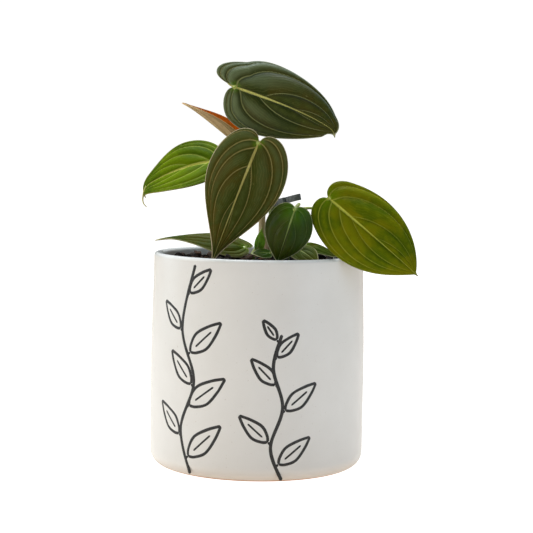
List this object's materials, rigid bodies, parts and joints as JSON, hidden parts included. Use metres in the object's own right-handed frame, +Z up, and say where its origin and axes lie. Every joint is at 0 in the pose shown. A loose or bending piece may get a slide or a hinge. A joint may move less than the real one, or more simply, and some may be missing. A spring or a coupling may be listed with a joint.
{
  "type": "potted philodendron",
  "caption": "Young velvet-leaved philodendron with heart-shaped veined leaves, tied to a bamboo stake in a white cylindrical ceramic pot.",
  "frame": {"origin": "centre of the flat disc under the pot, on the surface the pot stands on", "axes": "+Z up along the pot's axis, -Y the front of the pot, +X to the right of the front"},
  "size_m": [0.1705, 0.135, 0.2539],
  "materials": {
    "glazed_pot": "gloss",
    "potting_mix": "matte",
    "bark": "matte",
    "bamboo": "satin",
    "tie": "satin",
    "stem": "satin",
    "leaf_dark": "satin",
    "leaf_bright": "satin",
    "leaf_bronze": "satin",
    "aerial_root": "matte",
    "dry_sheath": "matte"
  },
  "bodies": {
    "root": {"pot": "glazed_pot", "potting_mix": "potting_mix", "bark_chip_1": "bark", "bark_chip_2": "bark", "bark_chip_3": "bark", "bark_chip_4": "bark", "bark_chip_5": "bark", "bark_chip_6": "bark", "bark_chip_7": "bark", "bark_chip_8": "bark", "bamboo_stake": "bamboo", "plant_tie": "tie", "main_stem": "stem", "left_shoot": "stem", "right_shoot": "stem", "petiole_top": "stem", "petiole_centre": "stem", "petiole_left": "stem", "petiole_right": "stem", "petiole_small": "stem", "petiole_low_left": "stem", "petiole_young": "stem", "petiole_low_front": "stem", "petiole_low_back": "stem", "petiole_shaded": "stem", "petiole_new": "stem", "leaf_top": "leaf_dark", "leaf_centre": "leaf_dark", "leaf_small": "leaf_dark", "leaf_low_left": "leaf_dark", "leaf_low_front": "leaf_dark", "leaf_low_back": "leaf_dark", "leaf_shaded": "leaf_dark", "leaf_left": "leaf_bright", "leaf_right": "leaf_bright", "leaf_young": "leaf_bright", "leaf_new": "leaf_bronze", "aerial_root_upper": "aerial_root", "aerial_root_lower": "aerial_root", "dry_sheath": "dry_sheath"}
  },
  "joints": []
}
